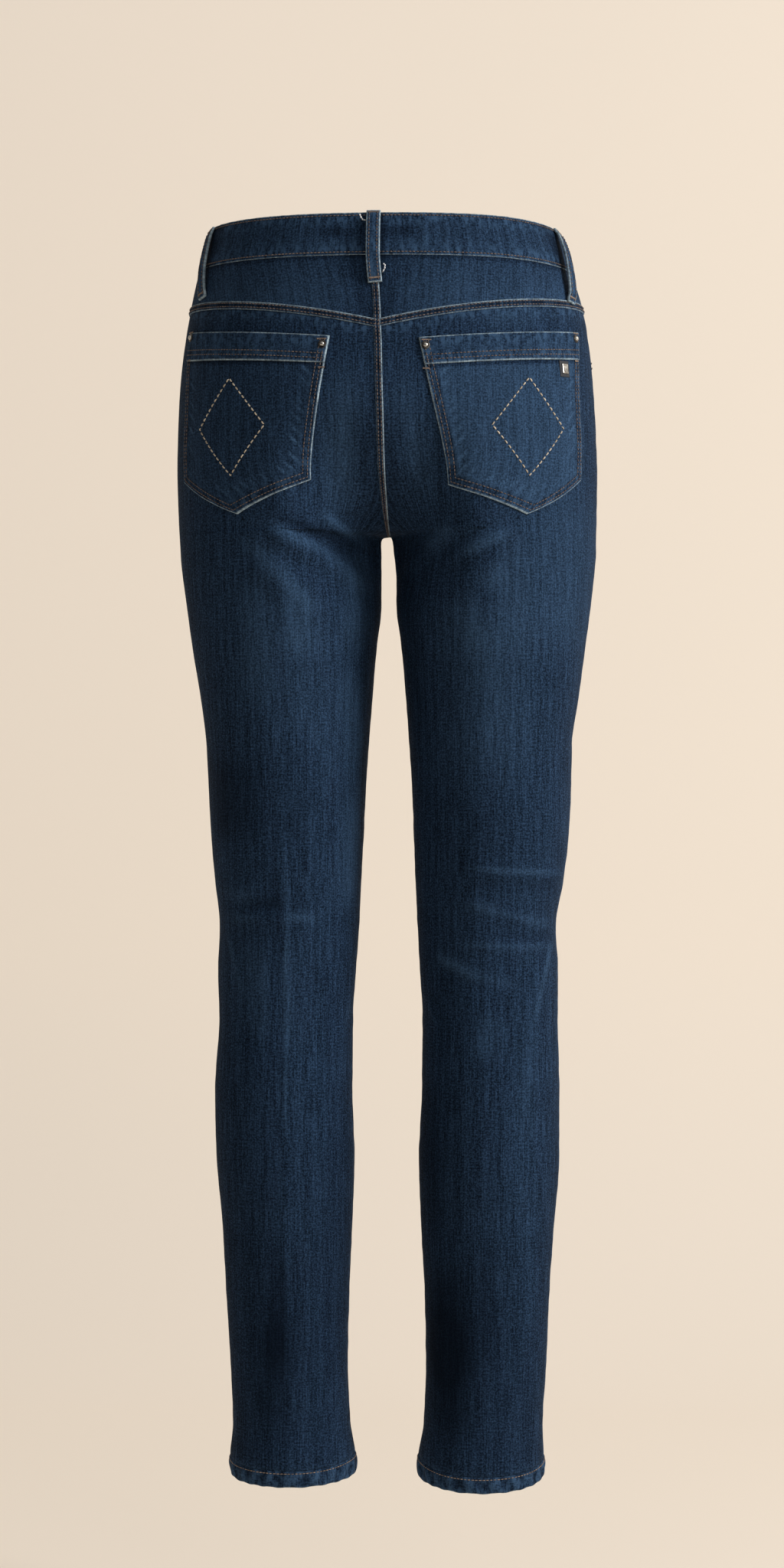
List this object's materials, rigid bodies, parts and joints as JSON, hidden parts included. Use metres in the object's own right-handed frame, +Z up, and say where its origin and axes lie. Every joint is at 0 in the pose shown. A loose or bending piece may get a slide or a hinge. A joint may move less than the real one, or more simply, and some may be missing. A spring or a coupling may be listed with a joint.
{
  "type": "skinny jeans",
  "caption": "Skinny jeans in dark blue stretch denim, hollow and open at the waist and hems, with back patch pockets, yoke, belt loops and turned hems.",
  "frame": {"origin": "middle of the waist opening at half the waistband's height, where the wearer holds the jeans up", "axes": "+Z up, +Y towards the seat, -Y towards the fly, +X towards the wearer's left"},
  "size_m": [0.3364, 0.2461, 1.0082],
  "materials": {
    "denim": "dark indigo stretch denim, matt, with a fine twill and slubs",
    "denim_worn": "the same denim, paler along turned edges",
    "metal": "nickel-plated, satin"
  },
  "bodies": {
    "root": {"back_left": "denim", "back_right": "denim", "front_left": "denim", "front_right": "denim", "yoke_left": "denim", "yoke_right": "denim", "back_pocket_left": "denim", "back_pocket_right": "denim", "fly": "denim", "front_pocket_left": "denim", "front_pocket_right": "denim", "waistband": "denim_worn", "pocket_band_left": "denim_worn", "pocket_band_right": "denim_worn", "hem_left": "denim_worn", "hem_right": "denim_worn", "belt_loop_back": "denim_worn", "belt_loop_side_left": "denim_worn", "belt_loop_side_right": "denim_worn", "belt_loop_front_left": "denim_worn", "belt_loop_front_right": "denim_worn", "rivet_left_inner": "metal", "rivet_left_outer": "metal", "rivet_right_inner": "metal", "rivet_right_outer": "metal", "pocket_plate": "metal", "waist_button": "metal"}
  },
  "joints": []
}
